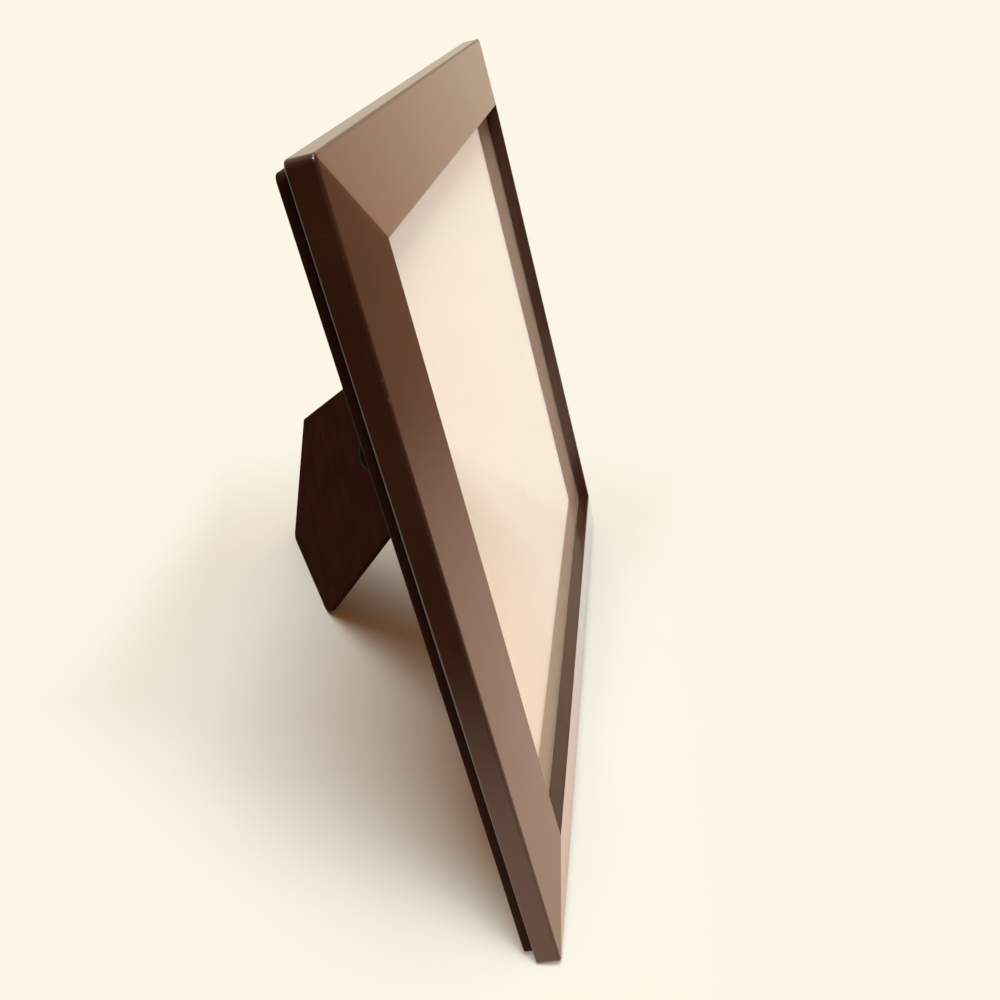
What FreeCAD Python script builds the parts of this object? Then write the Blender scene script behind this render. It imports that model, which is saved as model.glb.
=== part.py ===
"""Easel back picture frame for one landscape print, standing on a table.

The frame is built upright first: +X to the right, +Y towards the back, +Z up, with the origin in the
middle of the window on the plane of its raised inner edge. It is then leaned back and set down on the
table. In the finished part +Z is up, the front faces -Y, and the origin is on the table under the middle
of the whole object. All sizes are in millimetres and all angles in degrees.
"""

import FreeCAD
import Part
import math
import os

# Window and moulding
sight_width = 242.0
sight_height = 191.5
face_width = 26.6
face_setback = 4.2
edge_thickness = 7.7
lip_depth = 5.2
rabbet_width = 6.8
inner_round = 0.5
front_round = 1.1
back_round = 0.8
corner_round = 2.0

# Pane and print in the rabbet
pane_clearance = 0.8
glass_thickness = 2.0
print_thickness = 0.3

# Back strips and the lift-out door between them
strip_thickness = 3.5
strip_inset = 2.6
strip_round = 0.6
door_lap = 5.0
door_clearance = 0.3
door_corner = 1.5

# Nails across the mitres, two at each corner
nail_arm = 4.5
nail_sheet = 0.5
nail_depth = 5.0
nail_place_shares = (0.5, 0.82)

# Pins through the back strips
pin_shank = 0.7
pin_head = 1.5
pin_head_height = 0.8
pin_grip = 5.0
long_strip_pin_shares = (-0.84, -0.3, 0.3, 0.84)
short_strip_pin_shares = (-0.62, 0.62)

# Turn buttons and their screws
button_half_width = 4.0
button_reach = 8.0
button_thickness = 0.8
button_gap = 0.3
button_lip_height = 1.2
button_lip_depth = 1.0
screw_shank = 1.5
screw_clearance = 0.05
screw_head = 3.1
screw_head_height = 1.2
screw_head_round = 0.7
screw_slot_width = 0.7
screw_slot_depth = 0.5
screw_grip = 4.0
side_button_rise = 48.0

# Leg and the way it stands
lean = 14.0
leg_opening = 31.5
leg_slant = 56.7
hinge_x = -69.0
hinge_z = 33.9
leg_thickness = 3.0
leg_gap = 0.3
leg_top_gap = 1.0
leg_root_half = 22.7
leg_shoulder_half = 46.2
leg_root_round = 2.0
shoulder_round = 2.0
heel_round = 16.0
toe_round = 3.0

# Hinge between door and leg
sheet = 0.6
hinge_half_length = 20.0
knuckle_count = 5
knuckle_gap = 0.3
barrel_gap = 0.3
hinge_pin_clearance = 0.05
leaf_reach = 18.0
leaf_corner = 3.0
notch_gap = 0.5
stop_half_width = 2.5
stop_reach = 8.0
pin_end_height = 0.7
pin_end_overhang = 0.4

# Rivets of the hinge
rivet_shank = 1.2
rivet_head = 2.4
rivet_head_height = 0.8
rivet_head_round = 0.6
rivet_row = 11.0
leg_rivet_shares = (-0.7, 0.0, 0.7)
door_rivet_shares = (-0.4, 0.4)

# How far a cutting shape runs past what it cuts
overrun = 5.0

# Sizes that follow from the ones above
rail_depth = face_setback + edge_thickness
half_sight_x = sight_width / 2
half_sight_z = sight_height / 2
half_outer_x = half_sight_x + face_width
half_outer_z = half_sight_z + face_width
half_pane_x = half_sight_x + rabbet_width - pane_clearance
half_pane_z = half_sight_z + rabbet_width - pane_clearance
print_front = lip_depth + glass_thickness
filler_front = print_front + print_thickness
half_door_x = half_sight_x + rabbet_width + door_lap
half_door_z = half_sight_z + rabbet_width + door_lap
half_strips_x = half_outer_x - strip_inset
half_strips_z = half_outer_z - strip_inset
strip_inner_x = half_door_x + door_clearance
strip_inner_z = half_door_z + door_clearance
strip_middle_x = (strip_inner_x + half_strips_x) / 2
strip_middle_z = (strip_inner_z + half_strips_z) / 2
back_plane = rail_depth + strip_thickness
button_front = back_plane + button_gap
screw_top = button_front + button_thickness + button_gap + screw_head_height

# The closed leg lies leg_gap off the door, and its leaf runs from the leg's outer face round the pin.
# The knuckles turn barrel_gap off the door.
knuckle_radius = (leg_gap + leg_thickness + sheet - barrel_gap) / 2
hinge_pin_radius = knuckle_radius - sheet - hinge_pin_clearance
hinge_bore_radius = hinge_pin_radius + hinge_pin_clearance
knuckle_pitch = hinge_half_length * 2 / knuckle_count
door_side = -knuckle_radius - barrel_gap
hinge_y = back_plane - door_side
leg_inner = door_side + leg_gap
leg_outer = leg_inner + leg_thickness
leg_top = knuckle_radius + leg_top_gap
stop_inner = door_side + sheet + leg_gap

RIGHT = FreeCAD.Vector(1, 0, 0)
BACK = FreeCAD.Vector(0, 1, 0)
FORWARD = FreeCAD.Vector(0, -1, 0)
ORIGIN = FreeCAD.Vector(0, 0, 0)


# General shapes

def at(x, y, z):
    return FreeCAD.Vector(x, y, z)


def rounded_face(corners, radii):
    """A flat face through corner points, each rounded by its own radius, where zero keeps it sharp."""
    arcs = []
    starts = []
    ends = []
    for index, corner in enumerate(corners):
        radius = radii[index]
        before = (corners[index - 1] - corner).normalize()
        after = (corners[(index + 1) % len(corners)] - corner).normalize()
        half_angle = before.getAngle(after) / 2
        tangent = radius / math.tan(half_angle)
        starts.append(corner + before * tangent)
        ends.append(corner + after * tangent)
        if radius > 0:
            inward = (before + after).normalize()
            middle = corner + inward * (radius / math.sin(half_angle) - radius)
            arcs.append(Part.Arc(starts[-1], middle, ends[-1]).toShape())
    lines = []
    for index, end in enumerate(ends):
        start = starts[(index + 1) % len(starts)]
        lines.append(Part.LineSegment(end, start).toShape())
    return Part.Face(Part.Wire(Part.__sortEdges__(arcs + lines)))


def prism(corners, radii, travel):
    return rounded_face(corners, radii).extrude(travel)


def board(half_x, half_z, front, thickness, corner):
    """A board centred on the window and parallel to it."""
    corners = [
        at(-half_x, front, -half_z),
        at(half_x, front, -half_z),
        at(half_x, front, half_z),
        at(-half_x, front, half_z),
    ]
    return prism(corners, [corner] * len(corners), BACK * thickness)


def rod(radius, start, direction, length):
    return Part.makeCylinder(radius, length, start, direction)


def join(solids):
    return solids[0].fuse(solids[1:]).removeSplitter()


def headed_pin(shank_radius, head_radius, head_height, top, length):
    """A pin along Y whose head ends at top and whose shank starts under the head and runs forward."""
    head = rod(head_radius, top, FORWARD, head_height)
    shank = rod(shank_radius, top + FORWARD * head_height, FORWARD, length)
    return join([head, shank])


def domed(pin, top_y, radius):
    """Rounds the rim of a headed pin's top."""
    rim = [edge for edge in pin.Edges if edge.BoundBox.YMin > top_y - radius and len(edge.Vertexes) == 1]
    return pin.makeFillet(radius, rim)


# Moulding

def rail(half_span, half_rise):
    """A mitred bottom rail, half_span to each side of its window's middle and half_rise below it."""
    end = half_span + face_width + overrun
    outside = half_rise + face_width
    section = [
        at(-end, 0, -half_rise),
        at(-end, face_setback, -outside),
        at(-end, rail_depth, -outside),
        at(-end, rail_depth, -half_rise - rabbet_width),
        at(-end, lip_depth, -half_rise - rabbet_width),
        at(-end, lip_depth, -half_rise),
    ]
    bar = prism(section, [inner_round, front_round, back_round, 0, 0, 0], RIGHT * (end * 2))
    mitres = [
        at(-end, -overrun, -outside - overrun),
        at(end, -overrun, -outside - overrun),
        at(half_span - overrun, -overrun, overrun - half_rise),
        at(overrun - half_span, -overrun, overrun - half_rise),
    ]
    return bar.common(prism(mitres, [0] * len(mitres), BACK * (rail_depth + overrun * 2)))


def moulding(fasteners):
    """The four mitred rails, with their outer corners rounded and room for what is driven into them."""
    spans = {
        "rail_bottom": (half_sight_x, half_sight_z),
        "rail_right": (half_sight_z, half_sight_x),
        "rail_top": (half_sight_x, half_sight_z),
        "rail_left": (half_sight_z, half_sight_x),
    }
    block = board(half_outer_x, half_outer_z, -overrun, rail_depth + overrun * 2, corner_round)
    rails = {}
    for quarter_turns, (name, (half_span, half_rise)) in enumerate(spans.items()):
        bar = rail(half_span, half_rise)
        bar.rotate(ORIGIN, BACK, -90 * quarter_turns)
        rails[name] = bar.common(block).cut(fasteners)
    return rails


def corner_nails():
    """V shaped nails driven from the back across each mitre, with an arm in each rail."""
    nails = []
    for quarter_turns, (side_x, side_z) in enumerate([(-1, -1), (-1, 1), (1, 1), (1, -1)]):
        for share in nail_place_shares:
            offset = face_width * share
            nail = join([
                Part.makeBox(nail_arm, nail_depth, nail_sheet),
                Part.makeBox(nail_sheet, nail_depth, nail_arm),
            ])
            nail.rotate(ORIGIN, BACK, 90 * quarter_turns)
            tip_x = side_x * (half_sight_x + offset)
            tip_z = side_z * (half_sight_z + offset)
            nail.translate(at(tip_x, rail_depth - nail_depth, tip_z))
            nails.append(nail)
    return Part.makeCompound(nails)


# Back strips, their pins and the turn buttons

def back_strips(fasteners):
    """Two strips up the sides of the back and two across between them, round the opening for the door."""
    block = board(half_strips_x, half_strips_z, rail_depth, strip_thickness, corner_round)
    back_rim = [edge for edge in block.Edges if edge.BoundBox.YMin > back_plane - strip_round]
    block = block.makeFillet(strip_round, back_rim)
    width_x = half_strips_x - strip_inner_x
    width_z = half_strips_z - strip_inner_z
    bars = {
        "back_strip_bottom": (strip_inner_x * 2, width_z, -strip_inner_x, -half_strips_z),
        "back_strip_right": (width_x, half_strips_z * 2, strip_inner_x, -half_strips_z),
        "back_strip_top": (strip_inner_x * 2, width_z, -strip_inner_x, strip_inner_z),
        "back_strip_left": (width_x, half_strips_z * 2, -half_strips_x, -half_strips_z),
    }
    strips = {}
    for name, (width, height, left, low) in bars.items():
        bar = Part.makeBox(width, strip_thickness, height, at(left, rail_depth, low))
        strips[name] = bar.common(block).cut(fasteners)
    return strips


def strip_pins():
    """Pins through the strips into the rails, with their heads sunk flush."""
    places = []
    for side in (-1, 1):
        for share in long_strip_pin_shares:
            places.append((strip_inner_x * share, side * strip_middle_z))
        for share in short_strip_pin_shares:
            places.append((side * strip_middle_x, half_strips_z * share))
    length = strip_thickness - pin_head_height + pin_grip
    pins = [headed_pin(pin_shank, pin_head, pin_head_height, at(x, back_plane, z), length) for x, z in places]
    return Part.makeCompound(pins)


def button_pivots():
    """Where each turn button sits, in the order of the quarter turns that point it at the door.

    Those at the sides sit above the middle, clear of the folded leg.
    """
    return {
        "turn_button_bottom": at(0, button_front, -strip_middle_z),
        "turn_button_right": at(strip_middle_x, button_front, side_button_rise),
        "turn_button_top": at(0, button_front, strip_middle_z),
        "turn_button_left": at(-strip_middle_x, button_front, side_button_rise),
    }


def turn_button(pivot, quarter_turns):
    """A pressed steel catch with round ends, a raised lip for the finger and a hole for its screw."""
    width = button_half_width * 2
    height = button_thickness + button_lip_height
    tip = at(0, 0, button_reach)
    lip_z = button_reach + button_half_width - button_lip_depth
    blank = [
        rod(button_half_width, ORIGIN, BACK, button_thickness),
        rod(button_half_width, tip, BACK, button_thickness),
        Part.makeBox(width, button_thickness, button_reach, at(-button_half_width, 0, 0)),
    ]
    band = Part.makeBox(width, height, button_lip_depth, at(-button_half_width, 0, lip_z))
    lip = rod(button_half_width, tip, BACK, height).common(band)
    bore = rod(screw_shank + screw_clearance, at(0, -overrun, 0), BACK, button_thickness + overrun * 2)
    button = join(blank + [lip]).cut(bore)
    button.rotate(ORIGIN, BACK, -90 * quarter_turns)
    button.translate(pivot)
    return button


def button_screws():
    """A slotted pan head screw through each turn button and its strip into the rail."""
    length = screw_top - screw_head_height - rail_depth + screw_grip
    screws = []
    for pivot in button_pivots().values():
        top = at(pivot.x, screw_top, pivot.z)
        screw = headed_pin(screw_shank, screw_head, screw_head_height, top, length)
        screw = domed(screw, screw_top, screw_head_round)
        slot_corner = top + at(-screw_head, -screw_slot_depth, -screw_slot_width / 2)
        slot = Part.makeBox(screw_head * 2, screw_slot_depth + overrun, screw_slot_width, slot_corner)
        screws.append(screw.cut(slot))
    return Part.makeCompound(screws)


# Places on the leg and the table

def on_door(shape):
    """From hinge coordinates, with the pin along X and the closed leg hanging down, to the upright frame."""
    placed = shape.copy()
    placed.rotate(ORIGIN, BACK, -leg_slant)
    placed.translate(at(hinge_x, hinge_y, hinge_z))
    return placed


def opened(shape, angle):
    """Swung about the pin, away from the door."""
    swung = shape.copy()
    swung.rotate(ORIGIN, RIGHT, angle)
    return swung


def leaned(shape):
    """Leaned back with the frame, about the middle of the window."""
    tilted = shape.copy()
    tilted.rotate(ORIGIN, RIGHT, -lean)
    return tilted


def leg_height(across, down):
    """How high a point of the standing leg's inner face comes to lie, from its place on the closed leg."""
    point = Part.Vertex(at(across, leg_inner, -down))
    return leaned(on_door(opened(point, leg_opening))).Point.z


def table_height():
    """The lowest height of the leaned frame, at the rounded lower back edge of its bottom rail."""
    middle = Part.Vertex(at(0, rail_depth - back_round, back_round - half_outer_z))
    return leaned(middle).Point.z - back_round


def leg_reach(across):
    """How far down the leg's inner face meets the table, at a distance across from its middle line."""
    start = leg_height(across, 0)
    fall = start - leg_height(across, 1)
    return (start - table_height()) / fall


# Leg, hinge and rivets, in hinge coordinates

def leg_board(fasteners):
    """A flared board cut to a point: one edge of the point stands on the table, the other mirrors it."""
    shoulder = leg_reach(-leg_shoulder_half)
    toe = leg_reach(0)
    flare = (leg_shoulder_half - leg_root_half) / shoulder
    top_half = leg_root_half + flare * leg_top
    corners = [
        at(-top_half, leg_inner, -leg_top),
        at(-leg_shoulder_half, leg_inner, -shoulder),
        at(0, leg_inner, -toe),
        at(leg_shoulder_half, leg_inner, -shoulder),
        at(top_half, leg_inner, -leg_top),
    ]
    radii = [leg_root_round, heel_round, toe_round, shoulder_round, leg_root_round]
    return prism(corners, radii, BACK * leg_thickness).cut(fasteners)


def knuckle_spans(first):
    """Start and length along the pin of every second knuckle, from the first one given."""
    length = knuckle_pitch - knuckle_gap
    starts = range(first, knuckle_count, 2)
    return [(knuckle_pitch * index + knuckle_gap / 2 - hinge_half_length, length) for index in starts]


def leaf(plate_y, side, own_knuckles, other_knuckles, bore_radius):
    """A hinge leaf: a plate to one side of the pin, notched for the other leaf, and its rolled knuckles."""
    reach = leaf_reach * side
    corners = [
        at(-hinge_half_length, plate_y, 0),
        at(hinge_half_length, plate_y, 0),
        at(hinge_half_length, plate_y, reach),
        at(-hinge_half_length, plate_y, reach),
    ]
    plate = prism(corners, [0, 0, leaf_corner, leaf_corner], BACK * sheet)
    notch_half = knuckle_radius + notch_gap
    for start, length in other_knuckles:
        corner = at(start - knuckle_gap, plate_y - overrun, -notch_half)
        width = length + knuckle_gap * 2
        plate = plate.cut(Part.makeBox(width, sheet + overrun * 2, notch_half * 2, corner))
    knuckles = [rod(knuckle_radius, at(start, 0, 0), RIGHT, length) for start, length in own_knuckles]
    bore = rod(bore_radius, at(-hinge_half_length - overrun, 0, 0), RIGHT, (hinge_half_length + overrun) * 2)
    return join([plate] + knuckles).cut(bore)


def stop_tab():
    """The tail of the leg's middle knuckle, which comes down on the door's leaf when the leg stands open."""
    tab = Part.makeBox(stop_half_width * 2, sheet, stop_reach, at(-stop_half_width, stop_inner, 0))
    return opened(tab, -leg_opening)


def leg_leaf(fasteners):
    """The leg's leaf on the outer face of the leg, with the outer and middle knuckles and the stop."""
    plain = leaf(leg_outer, -1, knuckle_spans(0), knuckle_spans(1), hinge_bore_radius)
    bore = rod(hinge_bore_radius, at(-hinge_half_length, 0, 0), RIGHT, hinge_half_length * 2)
    return join([plain, stop_tab().cut(bore)]).cut(fasteners)


def door_leaf(fasteners):
    return leaf(door_side, 1, knuckle_spans(1), knuckle_spans(0), hinge_pin_radius).cut(fasteners)


def hinge_pin():
    """The pin through all knuckles, upset at both ends."""
    half = hinge_half_length + knuckle_gap
    end_radius = hinge_pin_radius + pin_end_overhang
    return join([
        rod(hinge_pin_radius, at(-half, 0, 0), RIGHT, half * 2),
        rod(end_radius, at(half, 0, 0), RIGHT, pin_end_height),
        rod(end_radius, at(-half - pin_end_height, 0, 0), RIGHT, pin_end_height),
    ])


def rivets(shares, row_z, leaf_face, depth):
    """Round head rivets in a row along the hinge, from a leaf's outer face through to depth below it."""
    row = []
    for share in shares:
        top = at(hinge_half_length * share, leaf_face + rivet_head_height, row_z)
        rivet = headed_pin(rivet_shank, rivet_head, rivet_head_height, top, depth)
        row.append(domed(rivet, top.y, rivet_head_round))
    return Part.makeCompound(row)


# The whole object

def upright_nodes():
    """Every node in the upright frame, by name."""
    leg_rivets = rivets(leg_rivet_shares, -rivet_row, knuckle_radius, sheet + leg_thickness)
    door_rivets = rivets(door_rivet_shares, rivet_row, door_side + sheet, sheet + strip_thickness)
    nails = corner_nails()
    pins = strip_pins()
    screws = button_screws()
    door_blank = board(half_door_x, half_door_z, rail_depth, strip_thickness, door_corner)

    nodes = moulding([nails, pins, screws])
    nodes["corner_nails"] = nails
    nodes["glass_pane"] = board(half_pane_x, half_pane_z, lip_depth, glass_thickness, 0)
    nodes["photo_insert"] = board(half_pane_x, half_pane_z, print_front, print_thickness, 0)
    nodes["filler_board"] = board(half_pane_x, half_pane_z, filler_front, rail_depth - filler_front, 0)
    nodes.update(back_strips([pins, screws]))
    nodes["strip_pins"] = pins
    nodes["easel_door"] = door_blank.cut(on_door(door_rivets))
    nodes["hinge_door_leaf"] = on_door(door_leaf(door_rivets))
    nodes["hinge_door_rivets"] = on_door(door_rivets)
    nodes["hinge_pin"] = on_door(hinge_pin())
    nodes["leg_board"] = on_door(opened(leg_board(leg_rivets), leg_opening))
    nodes["hinge_leg_leaf"] = on_door(opened(leg_leaf(leg_rivets), leg_opening))
    nodes["hinge_leg_rivets"] = on_door(opened(leg_rivets, leg_opening))
    for quarter_turns, (name, pivot) in enumerate(button_pivots().items()):
        nodes[name] = turn_button(pivot, quarter_turns)
    nodes["button_screws"] = screws
    return nodes


def report_place(name, shape, settle):
    point = leaned(shape).Point + settle
    print(name, round(point.x, 3), round(point.y, 3), round(point.z, 3))


def main():
    os.makedirs("parts", exist_ok=True)
    nodes = {name: leaned(shape) for name, shape in upright_nodes().items()}
    box = Part.makeCompound(list(nodes.values())).optimalBoundingBox(False)
    settle = at(0, -(box.YMin + box.YMax) / 2, -table_height())
    for name, shape in nodes.items():
        shape.translate(settle)
        shape.exportStep("parts/" + name + ".step")

    report_place("hinge pin middle", on_door(Part.Vertex(ORIGIN)), settle)
    report_place("one mm along the pin", on_door(Part.Vertex(RIGHT)), settle)
    for name, pivot in button_pivots().items():
        report_place(name, Part.Vertex(pivot), settle)
    edge_middle = at(0, (face_setback + front_round + rail_depth - back_round) / 2, -half_outer_z)
    report_place("underside of the bottom rail", Part.Vertex(edge_middle), settle)
    report_place("middle of the print", Part.Vertex(at(0, print_front, 0)), settle)
    print("overall", round(box.XLength, 2), round(box.YLength, 2), round(box.ZLength, 2))


main()
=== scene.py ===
"""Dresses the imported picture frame: a lacquered moulding with a glazed print, standing on its easel leg.

Pieces are drawn in the upright frame: +X right, +Y back, +Z up, with the origin in the middle of the window
on the plane of the raised inner edge. LEANED puts them where the solids are. Lengths are in metres.
"""

import bmesh
import bpy
import math
from mathutils import Matrix, Vector


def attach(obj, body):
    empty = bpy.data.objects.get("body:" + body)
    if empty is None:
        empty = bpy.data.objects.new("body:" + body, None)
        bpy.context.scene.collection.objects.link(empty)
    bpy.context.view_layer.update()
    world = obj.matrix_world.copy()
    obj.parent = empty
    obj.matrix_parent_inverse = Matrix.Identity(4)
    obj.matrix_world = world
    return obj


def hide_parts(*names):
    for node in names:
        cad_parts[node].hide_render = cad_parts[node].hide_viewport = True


MM = 0.001

# Window, moulding and pane
HALF_SIGHT_X = 121.0 * MM
HALF_SIGHT_Z = 95.75 * MM
FACE_WIDTH = 26.6 * MM
FACE_SETBACK = 4.2 * MM
RAIL_DEPTH = 11.9 * MM
LIP_DEPTH = 5.2 * MM
RABBET_WIDTH = 6.8 * MM
OUTER_CORNER = 2.0 * MM
GLASS_THICKNESS = 2.0 * MM
PANE_CLEARANCE = 0.8 * MM
AIR_GAP = 0.04 * MM

# Strips, door and what holds them
STRIP_THICKNESS = 3.5 * MM
BACK_PLANE = RAIL_DEPTH + STRIP_THICKNESS
HALF_STRIPS_X = 145.0 * MM
HALF_STRIPS_Z = 119.75 * MM
STRIP_INNER_X = 133.1 * MM
STRIP_INNER_Z = 107.85 * MM
STRIP_MIDDLE_X = (HALF_STRIPS_X + STRIP_INNER_X) / 2
STRIP_MIDDLE_Z = (HALF_STRIPS_Z + STRIP_INNER_Z) / 2
HALF_DOOR_X = 132.8 * MM
HALF_DOOR_Z = 107.55 * MM
SCREW_SEAT = 16.8 * MM
SIDE_BUTTON_RISE = 48.0 * MM
LONG_STRIP_PIN_SHARES = (-0.84, -0.3, 0.3, 0.84)
SHORT_STRIP_PIN_SHARES = (-0.62, 0.62)
PIN_SINK = 0.02 * MM

# Leg and hinge, in hinge coordinates: the pin along X and the closed leg hanging down
LEG_INNER = -1.8 * MM
LEG_THICKNESS = 3.0 * MM
LEG_CORNERS = tuple(
    (u * MM, v * MM)
    for u, v in ((-23.04, -2.8), (-46.2, -193.74), (0, -258.27), (46.2, -193.74), (23.04, -2.8))
)
LEG_ROUNDS = tuple(r * MM for r in (2.0, 16.0, 3.0, 2.0, 2.0))
LEG_LEAF_FACE = 1.8 * MM
DOOR_LEAF_FACE = -1.5 * MM
RIVET_ROW = 11.0 * MM
DOOR_RIVETS_X = (-8 * MM, 8 * MM)
LEG_RIVETS_X = (-14 * MM, 0, 14 * MM)

# Eased edges: the front edge and the back edge of a board, or the corners of an outline in turn
SECTION_ROUNDS = tuple(r * MM for r in (0.5, 1.1, 0.8, 0.1, 0.1, 0.15))
PANE_EASES = (0.1 * MM, 0.1 * MM)
PANE_CORNER = 0.3 * MM
STRIP_EASES = (0.15 * MM, 0.55 * MM)
STRIP_CORNER = 0.25 * MM
DOOR_EASES = (0.2 * MM, 0.4 * MM)
DOOR_CORNER = 1.5 * MM
LEG_EASES = (0.45 * MM, 0.45 * MM)
BUTTON_EASE = 0.12 * MM
MITRE_GROOVE = 0.08 * MM
SHARP_ANGLE = math.radians(40)
FLAT_ANGLE = math.radians(2)
EASED_ANGLE = math.radians(50)

# How the parts stand
LEAN = math.radians(14)
SETTLE = Vector((0, -50.899, 121.425)) * MM
HINGE_PLACE = Vector((-69.0, 17.5, 33.9)) * MM
LEG_SLANT = math.radians(56.7)
LEG_OPENING = math.radians(31.5)

LEANED = Matrix.Translation(SETTLE) @ Matrix.Rotation(-LEAN, 4, "X")
ON_DOOR = LEANED @ Matrix.Translation(HINGE_PLACE) @ Matrix.Rotation(-LEG_SLANT, 4, "Y")
ON_LEG = ON_DOOR @ Matrix.Rotation(LEG_OPENING, 4, "X")
FACING_BACK = Matrix.Rotation(math.radians(-90), 4, "X")

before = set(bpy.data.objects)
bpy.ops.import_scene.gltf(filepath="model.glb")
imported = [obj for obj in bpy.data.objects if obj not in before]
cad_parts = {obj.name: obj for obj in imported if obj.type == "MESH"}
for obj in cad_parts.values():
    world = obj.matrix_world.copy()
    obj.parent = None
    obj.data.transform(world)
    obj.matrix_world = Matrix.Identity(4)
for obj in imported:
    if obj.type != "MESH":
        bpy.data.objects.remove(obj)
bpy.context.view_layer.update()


# Nodes

def put(tree, kind, feeds=None, **settings):
    """A node with its settings, and with sockets or plain values for its inputs."""
    node = tree.nodes.new(kind)
    for name, value in settings.items():
        setattr(node, name, value)
    for key, value in (feeds or {}).items():
        if isinstance(value, bpy.types.NodeSocket):
            tree.links.new(value, node.inputs[key])
        else:
            node.inputs[key].default_value = value
    return node


def calc(tree, operation, *values):
    return put(tree, "ShaderNodeMath", dict(enumerate(values)), operation=operation).outputs[0]


def rest_of(tree, share):
    return calc(tree, "SUBTRACT", 1.0, share)


def ramp(tree, value, span, levels=(0.0, 1.0), **settings):
    """A value carried from one span to another, and held at both ends."""
    feeds = {"Value": value, "From Min": span[0], "From Max": span[1], "To Min": levels[0], "To Max": levels[1]}
    return put(tree, "ShaderNodeMapRange", feeds, **settings).outputs[0]


def parts_of(tree, place):
    return put(tree, "ShaderNodeSeparateXYZ", {0: place}).outputs


def new_group(name, kind, inputs, outputs):
    """A node group with named sockets, given as name: (kind of socket, default)."""
    tree = bpy.data.node_groups.new(name, kind)
    for label, (socket_kind, default) in inputs.items():
        socket = tree.interface.new_socket(label, in_out="INPUT", socket_type="NodeSocket" + socket_kind)
        if default is not None:
            socket.default_value = default
    for label, socket_kind in outputs.items():
        tree.interface.new_socket(label, in_out="OUTPUT", socket_type="NodeSocket" + socket_kind)
    return tree, tree.nodes.new("NodeGroupInput").outputs, tree.nodes.new("NodeGroupOutput").inputs


# Shared effects

DRIFT_FINENESS = 0.045      # of the fibres' own
WEAR_SCALE = 260.0
WEAR_START = 0.72
WEAR_END = 0.75
WEAR_REACH = 0.3
BARE_CELLS = 0.82


def grain_group():
    """Fibres drawn out along X, with a coarse drift of tone across them."""
    tree, given, result = new_group(
        "fibre_grain",
        "ShaderNodeTree",
        {"Place": ("Vector", None), "Fineness": ("Float", 900.0), "Stretch": ("Float", 0.05)},
        {"Tone": "Float", "Drift": "Float"},
    )
    drawn = put(tree, "ShaderNodeCombineXYZ", {0: given["Stretch"], 1: 1.0, 2: 1.0}).outputs[0]
    along = put(tree, "ShaderNodeVectorMath", {0: given["Place"], 1: drawn}, operation="MULTIPLY").outputs[0]
    fibres = put(
        tree, "ShaderNodeTexNoise",
        {"Vector": along, "Scale": given["Fineness"], "Detail": 4.0, "Roughness": 0.6},
    )
    coarse = calc(tree, "MULTIPLY", given["Fineness"], DRIFT_FINENESS)
    drift = put(tree, "ShaderNodeTexNoise", {"Vector": given["Place"], "Scale": coarse, "Detail": 2.0})
    tree.links.new(fibres.outputs[0], result["Tone"])
    tree.links.new(drift.outputs[0], result["Drift"])
    return tree


def wear_group():
    """Rubbed arrises: the arris mask of a piece, broken up along its length."""
    tree, given, result = new_group(
        "arris_wear",
        "ShaderNodeTree",
        {"Place": ("Vector", None), "Arris": ("Float", 0.0), "Amount": ("Float", 0.4)},
        {"Mask": "Float"},
    )
    patches = put(tree, "ShaderNodeTexNoise", {"Vector": given["Place"], "Scale": WEAR_SCALE, "Detail": 5.0})
    least = calc(tree, "SUBTRACT", WEAR_START, calc(tree, "MULTIPLY", given["Amount"], WEAR_REACH))
    broken = ramp(tree, patches.outputs[0], (least, WEAR_END))
    rubbed = calc(tree, "MULTIPLY", broken, calc(tree, "POWER", given["Arris"], 2.0))
    tree.links.new(rubbed, result["Mask"])
    return tree


def dust_group():
    """Stray specks of dust."""
    tree, given, result = new_group(
        "dust_specks",
        "ShaderNodeTree",
        {"Place": ("Vector", None), "Scale": ("Float", 420.0), "Size": ("Float", 0.05)},
        {"Mask": "Float"},
    )
    specks = put(tree, "ShaderNodeTexVoronoi", {"Vector": given["Place"], "Scale": given["Scale"]})
    small = calc(tree, "LESS_THAN", specks.outputs["Distance"], given["Size"])
    lot = put(tree, "ShaderNodeSeparateColor", {0: specks.outputs["Color"]}).outputs[0]
    few = calc(tree, "GREATER_THAN", lot, BARE_CELLS)
    tree.links.new(calc(tree, "MULTIPLY", small, few), result["Mask"])
    return tree


GRAIN = grain_group()
WEAR = wear_group()
DUST = dust_group()


# Materials

DRIFT_SHARE = 0.6           # of the tone; the fibres have the rest
TONE_SPAN = (0.35, 0.65)
GRAIN_STRENGTH = 0.6
COAT_LOST = 0.45            # share of its coat that a dulled arris lacks
DUST_COLOUR = (0.5, 0.44, 0.36)
DUST_COVER = 0.5
GLASS_TINT = (1.0, 1.0, 0.99, 1.0)
LIGHT_ON_PRINT = (1.0, 0.93, 0.86, 1.0)
SMEAR_SPAN = (0.45, 0.8)
SMEAR_ROUGHNESS = (0.0, 0.06)


def new_material(name):
    material = bpy.data.materials.new(name)
    material.use_nodes = True
    return material, material.node_tree, material.node_tree.nodes["Principled BSDF"]


def place_on_piece(tree, own):
    """The piece's own upright place, or the solid's place brought back upright."""
    if own:
        return put(tree, "ShaderNodeAttribute", attribute_name="own_place").outputs["Vector"]
    where = put(tree, "ShaderNodeTexCoord").outputs["Object"]
    feeds = {"Vector": where, "Rotation": (LEAN, 0, 0), "Location": LEANED.inverted().translation}
    return put(tree, "ShaderNodeMapping", feeds).outputs[0]


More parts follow.
